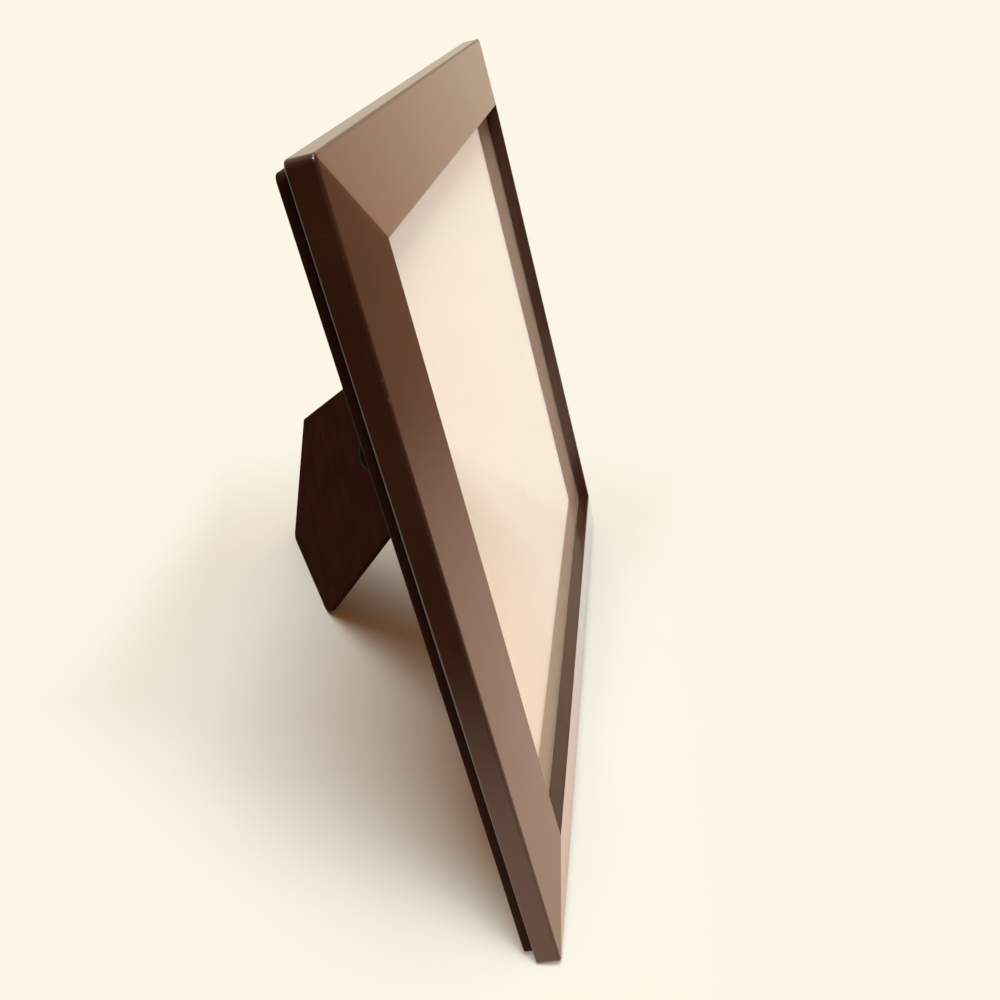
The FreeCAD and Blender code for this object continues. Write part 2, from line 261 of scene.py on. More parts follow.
def blend_colour(tree, factor, first, second):
    mix = put(tree, "ShaderNodeMix", {0: factor}, data_type="RGBA")
    for socket, value in ((mix.inputs[6], first), (mix.inputs[7], second)):
        if isinstance(value, bpy.types.NodeSocket):
            tree.links.new(value, socket)
        else:
            socket.default_value = (*value, 1.0)
    return mix.outputs[2]


def coated(name, dark, light, roughness, spread, relief, fineness=900.0, stretch=0.05, worn=None, amount=0.4,
           dust=0.04, metallic=0.0, own=True, coat=0.0, coat_roughness=0.3, specular=0.5, dulled=0.0):
    """A finish whose tone runs from dark to light along a fine grain, with rubbed arrises and a little dust.

    The roughness runs over its spread with the tone, and is more by dulled on the arrises. The relief is the
    height of the grain.
    """
    material, tree, skin = new_material(name)
    place = place_on_piece(tree, own)
    grain = put(tree, "ShaderNodeGroup", node_tree=GRAIN)
    tree.links.new(place, grain.inputs["Place"])
    grain.inputs["Fineness"].default_value = fineness
    grain.inputs["Stretch"].default_value = stretch
    fibres = calc(tree, "MULTIPLY", grain.outputs["Tone"], 1.0 - DRIFT_SHARE)
    tone = ramp(tree, calc(tree, "MULTIPLY_ADD", grain.outputs["Drift"], DRIFT_SHARE, fibres), TONE_SPAN)
    colour = blend_colour(tree, tone, dark, light)
    rough = calc(tree, "MULTIPLY_ADD", tone, spread, roughness - spread / 2)
    if worn:
        arris = put(tree, "ShaderNodeAttribute", attribute_name="arris").outputs["Fac"]
        wear = put(tree, "ShaderNodeGroup", {"Place": place, "Arris": arris, "Amount": amount}, node_tree=WEAR)
        colour = blend_colour(tree, wear.outputs["Mask"], colour, worn)
        rough = calc(tree, "MULTIPLY_ADD", arris, dulled, rough)
        if dulled and coat:
            thinner = calc(tree, "MULTIPLY_ADD", arris, -COAT_LOST * coat, coat)
            tree.links.new(thinner, skin.inputs["Coat Weight"])
    if dust:
        specks = put(tree, "ShaderNodeGroup", {"Place": place, "Size": dust}, node_tree=DUST)
        covered = calc(tree, "MULTIPLY", specks.outputs["Mask"], DUST_COVER)
        colour = blend_colour(tree, covered, colour, DUST_COLOUR)
    height = {"Height": grain.outputs["Tone"], "Strength": GRAIN_STRENGTH, "Distance": relief}
    bump = put(tree, "ShaderNodeBump", height)
    tree.links.new(colour, skin.inputs["Base Color"])
    tree.links.new(rough, skin.inputs["Roughness"])
    tree.links.new(bump.outputs[0], skin.inputs["Normal"])
    skin.inputs["Metallic"].default_value = metallic
    skin.inputs["Specular IOR Level"].default_value = specular
    skin.inputs["Coat Weight"].default_value = coat
    skin.inputs["Coat Roughness"].default_value = coat_roughness
    return material


def clear_glass():
    """Float glass with faint smears, which lets the lamps through to the print."""
    material, tree, skin = new_material("float_glass")
    skin.inputs["Base Color"].default_value = GLASS_TINT
    skin.inputs["Transmission Weight"].default_value = 1.0
    skin.inputs["IOR"].default_value = 1.5
    place = place_on_piece(tree, True)
    smears = put(tree, "ShaderNodeTexNoise", {"Vector": place, "Scale": 34.0, "Detail": 4.0, "Distortion": 0.6})
    rough = ramp(tree, smears.outputs[0], SMEAR_SPAN, SMEAR_ROUGHNESS)
    tree.links.new(rough, skin.inputs["Roughness"])
    open_way = put(tree, "ShaderNodeBsdfTransparent", {"Color": LIGHT_ON_PRINT})
    from_lamp = put(tree, "ShaderNodeLightPath").outputs["Is Shadow Ray"]
    mixed = put(tree, "ShaderNodeMixShader", {0: from_lamp, 1: skin.outputs[0], 2: open_way.outputs[0]})
    tree.links.new(mixed.outputs[0], tree.nodes["Material Output"].inputs["Surface"])
    return material


LACQUER = coated(
    "brown_lacquer", (0.038, 0.0108, 0.0034), (0.050, 0.0150, 0.0053),
    roughness=0.21, spread=0.04, relief=0.003 * MM, fineness=700.0, stretch=0.08,
    worn=(0.17, 0.09, 0.055), amount=0.35, dust=0.03, coat=0.75, coat_roughness=0.14, dulled=0.22,
)
STRIP_PAINT = coated(
    "black_brown_paint", (0.0200, 0.0048, 0.0009), (0.0290, 0.0075, 0.0018),
    roughness=0.55, spread=0.1, relief=0.02 * MM, fineness=800.0, stretch=0.06,
    worn=(0.10, 0.055, 0.035), amount=0.3, specular=0.07,
)
BOARD_PAPER = coated(
    "black_brown_paper", (0.0290, 0.0108, 0.0070), (0.0420, 0.0167, 0.0116),
    roughness=0.75, spread=0.1, relief=0.025 * MM, fineness=1500.0, stretch=0.6,
    worn=(0.12, 0.075, 0.05), amount=0.45, dust=0.05, specular=0.0,
)
PRINT_PAPER = coated(
    "cream_print", (0.965, 0.745, 0.57), (0.985, 0.79, 0.615),
    roughness=0.55, spread=0.05, relief=0.004 * MM, fineness=500.0, stretch=0.7, dust=0.0, own=False,
)
FILLER_CARD = coated(
    "grey_brown_card", (0.22, 0.15, 0.09), (0.36, 0.26, 0.17),
    roughness=0.8, spread=0.1, relief=0.03 * MM, fineness=1400.0, stretch=0.5, dust=0.0, own=False,
)
BLACK_STEEL = coated(
    "black_lacquered_steel", (0.0075, 0.0055, 0.0045), (0.013, 0.010, 0.008),
    roughness=0.6, spread=0.08, relief=0.004 * MM, fineness=2400.0, stretch=0.8,
    worn=(0.20, 0.18, 0.16), amount=0.5, dust=0.03, specular=0.05,
)
BLACK_LEAF = coated(
    "black_hinge_steel", (0.006, 0.0055, 0.005), (0.012, 0.011, 0.01),
    roughness=0.36, spread=0.08, relief=0.004 * MM, fineness=2400.0, stretch=0.8, dust=0.03, own=False,
)
NICKEL = coated(
    "nickel_plate", (0.48, 0.46, 0.43), (0.60, 0.58, 0.54),
    roughness=0.28, spread=0.1, relief=0.003 * MM, fineness=3000.0, stretch=0.3, dust=0.0, metallic=1.0,
)
BARE_STEEL = coated(
    "bare_steel", (0.28, 0.27, 0.25), (0.42, 0.41, 0.39),
    roughness=0.34, spread=0.12, relief=0.004 * MM, fineness=3000.0, stretch=0.2,
    dust=0.0, metallic=1.0, own=False,
)
GLASS = clear_glass()


# Pieces

LEAST_OPENING = 0.2         # keeps the step in from a very sharp corner short


def rounded_outline(corners, radii, steps):
    """Points (u, v, arris) round corners that are each rounded by a radius; arris peaks on the roundings."""
    points = []
    for index, corner in enumerate(corners):
        here = Vector(corner)
        before = (Vector(corners[index - 1]) - here).normalized()
        after = (Vector(corners[(index + 1) % len(corners)]) - here).normalized()
        half = before.angle(after) / 2
        radius = radii[index]
        middle = here + (before + after).normalized() * (radius / math.sin(half))
        first = here + before * (radius / math.tan(half)) - middle
        sweep = first.angle_signed(here + after * (radius / math.tan(half)) - middle)
        for step in range(steps + 1):
            share = step / steps
            turned = Matrix.Rotation(-sweep * share, 2) @ first
            points.append((*(middle + turned), math.sin(math.pi * share)))
    return points


def inward_of(points):
    """The way in from each point of a closed outline, so that a step moves both of its sides by one."""
    ways = []
    area = sum(p[0] * q[1] - q[0] * p[1] for p, q in zip(points, points[1:] + points[:1]))
    turn = math.copysign(1, area)
    for index, point in enumerate(points):
        here = Vector(point[:2])
        before = (here - Vector(points[index - 1][:2])).normalized()
        after = (Vector(points[(index + 1) % len(points)][:2]) - here).normalized()
        first = Vector((-before.y, before.x)) * turn
        second = Vector((-after.y, after.x)) * turn
        ways.append((first + second) / max(LEAST_OPENING, 1 + first.dot(second)))
    return ways


def named_values(mesh, name, kind, values):
    attribute = mesh.attributes.new(name, kind, "POINT")
    field = "vector" if kind == "FLOAT_VECTOR" else "value"
    flat = [part for value in values for part in value] if kind == "FLOAT_VECTOR" else values
    attribute.data.foreach_set(field, flat)


def plain_mesh(piece):
    """The piece's evaluated mesh, with its modifiers taken off."""
    evaluated = piece.evaluated_get(bpy.context.evaluated_depsgraph_get())
    mesh = bpy.data.meshes.new_from_object(evaluated)
    piece.modifiers.clear()
    piece.data = mesh
    return mesh


def closed_up(mesh, gap=0.001 * MM):
    """Merges what meets and turns every face outwards."""
    shell = bmesh.new()
    shell.from_mesh(mesh)
    bmesh.ops.remove_doubles(shell, verts=shell.verts, dist=gap)
    bmesh.ops.recalc_face_normals(shell, faces=shell.faces)
    shell.to_mesh(mesh)
    shell.free()


def finish_piece(piece, matrix, body, nodes):
    """Smooths the roundings, keeps the flats flat, puts the piece in its place and lets it ride."""
    piece.data.transform(matrix)
    piece.data.shade_smooth()
    piece.data.set_sharp_from_angle(angle=SHARP_ANGLE)
    normals = piece.modifiers.new("flat_faces", "WEIGHTED_NORMAL")
    normals.keep_sharp = True
    plain_mesh(piece)
    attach(piece, body)
    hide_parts(*nodes)


def new_piece(name, mesh, material=None):
    piece = bpy.data.objects.new(name, mesh)
    bpy.context.scene.collection.objects.link(piece)
    if material:
        mesh.materials.append(material)
    return piece


def slab(name, outline, front, thickness, rounds, material, steps=4):
    """A flat board from an outline in X and Z, whose front and back edges are rounded by the two rounds."""
    inward = inward_of(outline)
    loops = []
    for way, edge, radius in ((1, front, rounds[0]), (-1, front + thickness, rounds[1])):
        ring = []
        for step in range(steps + 1):
            angle = math.pi / 2 * step / steps
            inset = radius * (1 - math.sin(angle))
            depth = edge + way * radius * (1 - math.cos(angle))
            ring.append((inset, depth, math.sin(2 * angle)))
        loops += ring if way > 0 else ring[::-1]
    points = []
    arrises = []
    for inset, depth, arris in loops:
        for (u, v, corner), way in zip(outline, inward):
            points.append((u + way.x * inset, depth, v + way.y * inset))
            arrises.append(min(1.0, arris))
    count = len(outline)
    faces = [tuple(range(count)), tuple(range(len(points) - count, len(points)))[::-1]]
    for loop in range(len(loops) - 1):
        for index in range(count):
            after = (index + 1) % count
            low = loop * count
            faces.append((low + index, low + count + index, low + count + after, low + after))
    mesh = bpy.data.meshes.new(name)
    mesh.from_pydata(points, [], faces)
    named_values(mesh, "own_place", "FLOAT_VECTOR", points)
    named_values(mesh, "arris", "FLOAT", arrises)
    closed_up(mesh)
    return new_piece(name, mesh, material)


def rectangle(left, right, low, high):
    return [(left, low), (right, low), (right, high), (left, high)]


# Moulding

FIRST_STATION = 0.5


def rail_tree():
    """Sweeps a section between two mitres, rounds the outer corners and leaves a fine groove at each mitre.

    The host's points are the section: how far outside the window's edge, and how far back. Stations along
    the sweep go outwards by ones from the first on either side. Each end goes round the corner in as many
    stations as the corner has steps, and the last station goes down into the groove.
    """
    tree, given, result = new_group(
        "mitred_rail",
        "GeometryNodeTree",
        {
            "Geometry": ("Geometry", None),
            "Half span": ("Float", 0.1),
            "Half rise": ("Float", 0.1),
            "Face width": ("Float", FACE_WIDTH),
            "Corner round": ("Float", OUTER_CORNER),
            "Corner steps": ("Int", 6),
            "Groove": ("Float", MITRE_GROOVE),
            "Material": ("Material", None),
        },
        {"Geometry": "Geometry"},
    )

    def named(name, kind="FLOAT"):
        return put(tree, "GeometryNodeInputNamedAttribute", {"Name": name}, data_type=kind).outputs[0]

    def store(geometry, name, value, kind="FLOAT"):
        feeds = {"Geometry": geometry, "Name": name, "Value": value}
        return put(tree, "GeometryNodeStoreNamedAttribute", feeds, data_type=kind, domain="POINT").outputs[0]

    reach = calc(tree, "ADD", given["Corner steps"], 1.0 + FIRST_STATION)
    start = put(tree, "ShaderNodeCombineXYZ", {0: calc(tree, "MULTIPLY", reach, -1.0)}).outputs[0]
    end = put(tree, "ShaderNodeCombineXYZ", {0: reach}).outputs[0]
    line = put(tree, "GeometryNodeCurvePrimitiveLine", {"Start": start, "End": end}).outputs[0]
    count = calc(tree, "ADD", calc(tree, "MULTIPLY", reach, 2.0), 1.0)
    stations = put(tree, "GeometryNodeResampleCurve", {"Curve": line, "Count": count}).outputs[0]
    across = parts_of(tree, put(tree, "GeometryNodeInputPosition").outputs[0])[0]
    stations = store(stations, "station", across)
    section = put(tree, "GeometryNodeMeshToCurve", {"Mesh": given["Geometry"]}).outputs[0]
    swept = put(
        tree, "GeometryNodeCurveToMesh", {"Curve": stations, "Profile Curve": section, "Fill Caps": True}
    ).outputs[0]

    station = named("station")
    side = calc(tree, "SIGN", station)
    past = calc(tree, "SUBTRACT", calc(tree, "ABSOLUTE", station), FIRST_STATION)
    turn = calc(tree, "MINIMUM", calc(tree, "DIVIDE", past, given["Corner steps"]), 1.0)
    sunk = calc(tree, "MAXIMUM", calc(tree, "SUBTRACT", past, given["Corner steps"]), 0.0)
    sinking = put(
        tree, "ShaderNodeVectorMath",
        {0: named("inward", "FLOAT_VECTOR"), "Scale": calc(tree, "MULTIPLY", sunk, given["Groove"])},
        operation="SCALE",
    ).outputs[0]
    drawn = named("section", "FLOAT_VECTOR")
    placed = put(tree, "ShaderNodeVectorMath", {0: drawn, 1: sinking}, operation="ADD").outputs[0]
    parts = parts_of(tree, placed)
    corner_start = calc(tree, "SUBTRACT", given["Face width"], given["Corner round"])
    bend = calc(tree, "MAXIMUM", calc(tree, "SUBTRACT", parts[0], corner_start), 0.0)
    straight = calc(tree, "SUBTRACT", parts[0], bend)
    angle = calc(tree, "MULTIPLY", turn, math.pi / 4)
    short_of = calc(tree, "MULTIPLY", rest_of(tree, turn), calc(tree, "SUBTRACT", given["Corner round"], bend))
    lip = calc(tree, "MULTIPLY", rest_of(tree, sunk), given["Groove"])
    length = calc(tree, "ADD", given["Half span"], straight)
    length = calc(tree, "ADD", length, calc(tree, "MULTIPLY", bend, calc(tree, "SINE", angle)))
    length = calc(tree, "SUBTRACT", length, calc(tree, "ADD", short_of, lip))
    along = calc(tree, "MULTIPLY", side, length)
    drop = calc(tree, "ADD", given["Half rise"], straight)
    drop = calc(tree, "ADD", drop, calc(tree, "MULTIPLY", bend, calc(tree, "COSINE", angle)))
    low = calc(tree, "MULTIPLY", drop, -1.0)
    place = put(tree, "ShaderNodeCombineXYZ", {0: along, 1: parts[1], 2: low}).outputs[0]
    swept = put(tree, "GeometryNodeSetPosition", {"Geometry": swept, "Position": place}).outputs[0]
    grain_place = put(tree, "GeometryNodeInputPosition").outputs[0]
    swept = store(swept, "own_place", grain_place, "FLOAT_VECTOR")
    realized = put(tree, "GeometryNodeRealizeInstances", {"Geometry": swept}).outputs[0]
    dressed = put(tree, "GeometryNodeSetMaterial", {"Geometry": realized, "Material": given["Material"]})
    tree.links.new(dressed.outputs[0], result["Geometry"])
    return tree


def grow(piece, tree, sizes):
    """Runs a geometry tree on the piece with its inputs set by name, and keeps the plain mesh."""
    modifier = piece.modifiers.new(tree.name, "NODES")
    modifier.node_group = tree
    for item in tree.interface.items_tree:
        if item.name in sizes and item.in_out == "INPUT":
            modifier[item.identifier] = sizes[item.name]
    closed_up(plain_mesh(piece))
    return piece


def moulding():
    """The four rails from one section, each a quarter turn on from the one before."""
    tree = rail_tree()
    corners = [
        (0, 0),
        (FACE_WIDTH, FACE_SETBACK),
        (FACE_WIDTH, RAIL_DEPTH),
        (RABBET_WIDTH, RAIL_DEPTH),
        (RABBET_WIDTH, LIP_DEPTH),
        (0, LIP_DEPTH),
    ]
    section = rounded_outline(corners, SECTION_ROUNDS, steps=6)
    inward = inward_of(section)
    points = [(u, v, 0) for u, v, arris in section]
    ring = [(index, (index + 1) % len(points)) for index in range(len(points))]
    spans = {
        "rail_bottom": (HALF_SIGHT_X, HALF_SIGHT_Z),
        "rail_right": (HALF_SIGHT_Z, HALF_SIGHT_X),
        "rail_top": (HALF_SIGHT_X, HALF_SIGHT_Z),
        "rail_left": (HALF_SIGHT_Z, HALF_SIGHT_X),
    }
    for quarter_turns, (node, (half_span, half_rise)) in enumerate(spans.items()):
        mesh = bpy.data.meshes.new(node + "_section")
        mesh.from_pydata(points, ring, [])
        named_values(mesh, "section", "FLOAT_VECTOR", points)
        named_values(mesh, "inward", "FLOAT_VECTOR", [(way.x, way.y, 0) for way in inward])
        named_values(mesh, "arris", "FLOAT", [arris for u, v, arris in section])
        piece = new_piece("moulding_" + node.split("_")[1], mesh)
        grow(piece, tree, {"Half span": half_span, "Half rise": half_rise, "Material": LACQUER})
        turned = LEANED @ Matrix.Rotation(math.radians(-90) * quarter_turns, 4, "Y")
        finish_piece(piece, turned, "frame", [node])


# Pane, strips, door and leg

def pane():
    half_x = HALF_SIGHT_X + RABBET_WIDTH - PANE_CLEARANCE
    half_z = HALF_SIGHT_Z + RABBET_WIDTH - PANE_CLEARANCE
    outline = rounded_outline(rectangle(-half_x, half_x, -half_z, half_z), [PANE_CORNER] * 4, steps=2)
    thickness = GLASS_THICKNESS - AIR_GAP * 2
    piece = slab("pane", outline, LIP_DEPTH + AIR_GAP, thickness, PANE_EASES, GLASS, steps=2)
    finish_piece(piece, LEANED, "frame", ["glass_pane"])


def strips():
    """Two strips up the sides of the back and two across between them."""
    outer, fine = OUTER_CORNER, STRIP_CORNER
    bars = {
        "bottom": ((-STRIP_INNER_X, STRIP_INNER_X, -HALF_STRIPS_Z, -STRIP_INNER_Z), (fine,) * 4),
        "right": ((STRIP_INNER_X, HALF_STRIPS_X, -HALF_STRIPS_Z, HALF_STRIPS_Z), (fine, outer, outer, fine)),
        "top": ((-STRIP_INNER_X, STRIP_INNER_X, STRIP_INNER_Z, HALF_STRIPS_Z), (fine,) * 4),
        "left": ((-HALF_STRIPS_X, -STRIP_INNER_X, -HALF_STRIPS_Z, HALF_STRIPS_Z), (outer, fine, fine, outer)),
    }
    for side, (edges, radii) in bars.items():
        outline = rounded_outline(rectangle(*edges), radii, steps=5)
        piece = slab("strip_" + side, outline, RAIL_DEPTH, STRIP_THICKNESS, STRIP_EASES, STRIP_PAINT)
        finish_piece(piece, LEANED, "frame", ["back_strip_" + side])


def door():
    corners = rectangle(-HALF_DOOR_X, HALF_DOOR_X, -HALF_DOOR_Z, HALF_DOOR_Z)
    outline = rounded_outline(corners, [DOOR_CORNER] * 4, steps=5)
    piece = slab("door_board", outline, RAIL_DEPTH, STRIP_THICKNESS, DOOR_EASES, BOARD_PAPER)
    finish_piece(piece, LEANED, "frame", ["easel_door"])


def leg():
    outline = rounded_outline(LEG_CORNERS, LEG_ROUNDS, steps=10)
    piece = slab("leg", outline, LEG_INNER, LEG_THICKNESS, LEG_EASES, BOARD_PAPER)
    finish_piece(piece, ON_LEG, "leg", ["leg_board"])


def softened(name, node, width, material, body):
    """A copy of a solid with its sharp edges eased."""
    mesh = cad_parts[node].data.copy()
    mesh.materials.clear()
    closed_up(mesh, gap=0.002 * MM)
    shell = bmesh.new()
    shell.from_mesh(mesh)
    bmesh.ops.dissolve_limit(shell, angle_limit=FLAT_ANGLE, verts=shell.verts, edges=shell.edges)
    shell.to_mesh(mesh)
    shell.free()
    piece = new_piece(name, mesh, material)
    bevel = piece.modifiers.new("eased", "BEVEL")
    bevel.width = width
    bevel.segments = 2
    bevel.limit_method = "ANGLE"
    bevel.angle_limit = EASED_ANGLE
    plain_mesh(piece)
    upright = LEANED.inverted()
    named_values(piece.data, "own_place", "FLOAT_VECTOR", [upright @ v.co for v in piece.data.vertices])
    finish_piece(piece, Matrix.Identity(4), body, [node])


# Fasteners

SLOT_REACH = 3.0            # head radii, so that the slot runs right across


def fastener_tree():
    """A domed head on a shank at each point of the host, pointing along Z, with an optional driver slot."""
    tree, given, result = new_group(
        "fasteners",
        "GeometryNodeTree",
        {
            "Geometry": ("Geometry", None),
            "Shank radius": ("Float", 0.001),
            "Shank length": ("Float", 0.005),
            "Head radius": ("Float", 0.002),
            "Head height": ("Float", 0.001),
            "Fullness": ("Float", 0.6),
            "Slotted": ("Bool", False),
            "Slot width": ("Float", 0.7 * MM),
            "Slot depth": ("Float", 0.5 * MM),
            "Seed": ("Int", 3),
            "Material": ("Material", None),
        },
        {"Geometry": "Geometry"},
    )
    ball_sizes = {"Segments": 28, "Rings": 22, "Radius": given["Head radius"]}
    ball = put(tree, "GeometryNodeMeshUVSphere", ball_sizes).outputs[0]
    parts = parts_of(tree, put(tree, "GeometryNodeInputPosition").outputs[0])
    share = calc(tree, "DIVIDE", calc(tree, "MAXIMUM", parts[2], 0.0), given["Head radius"])
    height = calc(tree, "MULTIPLY", calc(tree, "POWER", share, given["Fullness"]), given["Head height"])
    place = put(tree, "ShaderNodeCombineXYZ", {0: parts[0], 1: parts[1], 2: height}).outputs[0]
    head = put(tree, "GeometryNodeSetPosition", {"Geometry": ball, "Position": place}).outputs[0]

    slot_size = put(
        tree, "ShaderNodeCombineXYZ",
        {0: calc(tree, "MULTIPLY", given["Head radius"], SLOT_REACH), 1: given["Slot width"],
         2: calc(tree, "MULTIPLY", given["Slot depth"], 2.0)},
    ).outputs[0]
    cutter = put(tree, "GeometryNodeMeshCube", {"Size": slot_size}).outputs[0]
    lifted = put(tree, "ShaderNodeCombineXYZ", {2: given["Head height"]}).outputs[0]
    cutter = put(tree, "GeometryNodeTransform", {"Geometry": cutter, "Translation": lifted}).outputs[0]
    cut = put(tree, "GeometryNodeMeshBoolean", {0: head, 1: cutter}, operation="DIFFERENCE").outputs[0]
    choice = {"Switch": given["Slotted"], "False": head, "True": cut}
    head = put(tree, "GeometryNodeSwitch", choice, input_type="GEOMETRY").outputs[0]

    shank = put(
        tree, "GeometryNodeMeshCylinder",
        {"Vertices": 16, "Radius": given["Shank radius"], "Depth": given["Shank length"]},
    ).outputs[0]
    halfway = calc(tree, "MULTIPLY", given["Shank length"], -0.5)
    under = put(tree, "ShaderNodeCombineXYZ", {2: halfway}).outputs[0]
    shank = put(tree, "GeometryNodeTransform", {"Geometry": shank, "Translation": under}).outputs[0]
    whole = put(tree, "GeometryNodeJoinGeometry")
    tree.links.new(shank, whole.inputs[0])
    tree.links.new(head, whole.inputs[0])

    half_turn = {2: 0.0, 3: math.pi, "Seed": given["Seed"]}
    spin = put(tree, "FunctionNodeRandomValue", half_turn, data_type="FLOAT").outputs[1]
    turned = put(tree, "ShaderNodeCombineXYZ", {2: spin}).outputs[0]
    row = put(
        tree, "GeometryNodeInstanceOnPoints",
        {"Points": given["Geometry"], "Instance": whole.outputs[0], "Rotation": turned},
    ).outputs[0]
    realized = put(tree, "GeometryNodeRealizeInstances", {"Geometry": row}).outputs[0]
    placed = put(tree, "GeometryNodeInputPosition").outputs[0]
    realized = put(
        tree, "GeometryNodeStoreNamedAttribute", {"Geometry": realized, "Name": "own_place", "Value": placed},
        data_type="FLOAT_VECTOR", domain="POINT",
    ).outputs[0]
    dressed = put(tree, "GeometryNodeSetMaterial", {"Geometry": realized, "Material": given["Material"]})
    tree.links.new(dressed.outputs[0], result["Geometry"])
    return tree


def fasteners(tree, name, places, seat, matrix, body, node, sizes):
    """A row of fasteners that point backwards, at places in X and Z, with their heads on the seat plane."""
    mesh = bpy.data.meshes.new(name + "_places")
    mesh.from_pydata([(x, -z, seat) for x, z in places], [], [])
    piece = grow(new_piece(name, mesh), tree, sizes)
    finish_piece(piece, matrix @ FACING_BACK, body, [node])


def all_fasteners():
    tree = fastener_tree()
    sides = (-1, 1)
    pins = []
    for side in sides:
        pins += [(STRIP_INNER_X * share, side * STRIP_MIDDLE_Z) for share in LONG_STRIP_PIN_SHARES]
    for side in sides:
        pins += [(side * STRIP_MIDDLE_X, HALF_STRIPS_Z * share) for share in SHORT_STRIP_PIN_SHARES]
    fasteners(
        tree, "pins", pins, BACK_PLANE - PIN_SINK, LEANED, "frame", "strip_pins",
        {"Shank radius": 0.7 * MM, "Shank length": 8.0 * MM, "Head radius": 1.5 * MM, "Head height": 0.12 * MM,
         "Fullness": 0.5, "Seed": 5, "Material": NICKEL},
    )
    screws = [(0, -STRIP_MIDDLE_Z), (0, STRIP_MIDDLE_Z)]
    screws += [(side * STRIP_MIDDLE_X, SIDE_BUTTON_RISE) for side in sides]
    fasteners(
        tree, "screws", screws, SCREW_SEAT, LEANED, "frame", "button_screws",
        {"Shank radius": 1.5 * MM, "Shank length": 9.0 * MM, "Head radius": 3.1 * MM, "Head height": 1.2 * MM,
         "Fullness": 0.5, "Slotted": True, "Seed": 11, "Material": BLACK_STEEL},
    )
    rivets = {"Shank radius": 1.2 * MM, "Shank length": 3.6 * MM, "Head radius": 2.4 * MM,
              "Head height": 0.8 * MM, "Fullness": 0.7, "Material": NICKEL}
    fasteners(
        tree, "door_rivets", [(x, RIVET_ROW) for x in DOOR_RIVETS_X], DOOR_LEAF_FACE, ON_DOOR,
        "frame", "hinge_door_rivets", rivets,
    )
    fasteners(
        tree, "leg_rivets", [(x, -RIVET_ROW) for x in LEG_RIVETS_X], LEG_LEAF_FACE, ON_LEG,
        "leg", "hinge_leg_rivets", rivets,
    )


# Stage

BACKDROP = (0.985, 0.92, 0.79)
FLOOR_SHADE = (0.93, 0.865, 0.735)
FLOOR_LIGHT = (0.965, 0.905, 0.775)
FOLD_SPAN = (0.3, 0.7)
HALF_FLOOR = 25.0
SOFT_LIGHT = (1.0, 0.47, 0.22, 1.0)
SOFT_STRENGTH = 0.35

# The room in a reflection: levels by the direction's part along Y, ahead and behind, and along X
PALE_ROOM = (1.0, 0.83, 0.62)
DIM_ROOM = (1.0, 0.47, 0.27)
ROOM_STRENGTH = 0.73
AHEAD_SPAN, AHEAD_LEVELS = (-0.58, -0.47), (0.43, 1.1)
BEHIND_SPAN, BEHIND_LEVELS = (0.05, 0.45), (1.0, 0.85)
SIDEWAYS_SPAN, SIDEWAYS_LEVELS = (-0.6, 0.2), (0.06, 1.0)
PALE_ROOM_SPAN = (-0.39, -0.12)

# The cloth in a reflection: paler behind a slanting line. On the left it is dim to all but the camera
PALE_FLOOR = (1.0, 0.94, 0.83)
WARM_FLOOR = (1.0, 0.69, 0.52)
DIM_SIDE = (0.045, 0.022, 0.012)
PALER_SLANT = 0.4
PALER_SPAN = (-0.13, -0.05)
DIM_SIDE_SPAN = (-0.19, -0.31)

# Where the cloth gives way to the backdrop, or to the room in a reflection, in metres
SEEN_FADE = (0.10, 0.28)
EDGE_FADE = (0.0, 0.06)
MIRRORED_FADE = (0.25, 1.0)
PALER_HASTE = 2.4           # how much more the distance counts behind the slanting line
FAR_SPAN = (1.5, 4.0)
DIMMER_SPAN = (0.15, 0.9)
SLANTING_EDGE = (-0.759, 0.652, -0.0747)    # its outward direction along X and Y, and its start
BACK_EDGE = 0.095
FRONT_EDGE = -0.075


def room_group():
    """How the room looks in a reflection: pale on the right and behind, dim in front and on the left."""
    tree, given, result = new_group(
        "room_tone", "ShaderNodeTree", {"Direction": ("Vector", None)}, {"Level": "Float", "Tint": "Color"}
    )
    parts = parts_of(tree, given["Direction"])
    ahead = ramp(tree, parts[1], AHEAD_SPAN, AHEAD_LEVELS)
    behind = ramp(tree, parts[1], BEHIND_SPAN, BEHIND_LEVELS)
    sideways = ramp(tree, parts[0], SIDEWAYS_SPAN, SIDEWAYS_LEVELS)
    level = calc(tree, "MULTIPLY", calc(tree, "MULTIPLY", ahead, behind), sideways)
    tree.links.new(level, result["Level"])
    paler = ramp(tree, parts[1], PALE_ROOM_SPAN)
    tree.links.new(blend_colour(tree, paler, DIM_ROOM, PALE_ROOM), result["Tint"])
    return tree


ROOM = room_group()


def past_edges(tree, spot):
    """How far a place lies outside the patch of cloth round the object's shadow, which has three edges."""
    across, along, start = SLANTING_EDGE
    slanting = calc(tree, "MULTIPLY_ADD", spot[1], along, calc(tree, "MULTIPLY_ADD", spot[0], across, start))
    past = calc(tree, "MAXIMUM", slanting, calc(tree, "SUBTRACT", spot[1], BACK_EDGE))
    return calc(tree, "MAXIMUM", past, calc(tree, "SUBTRACT", FRONT_EDGE, spot[1]))


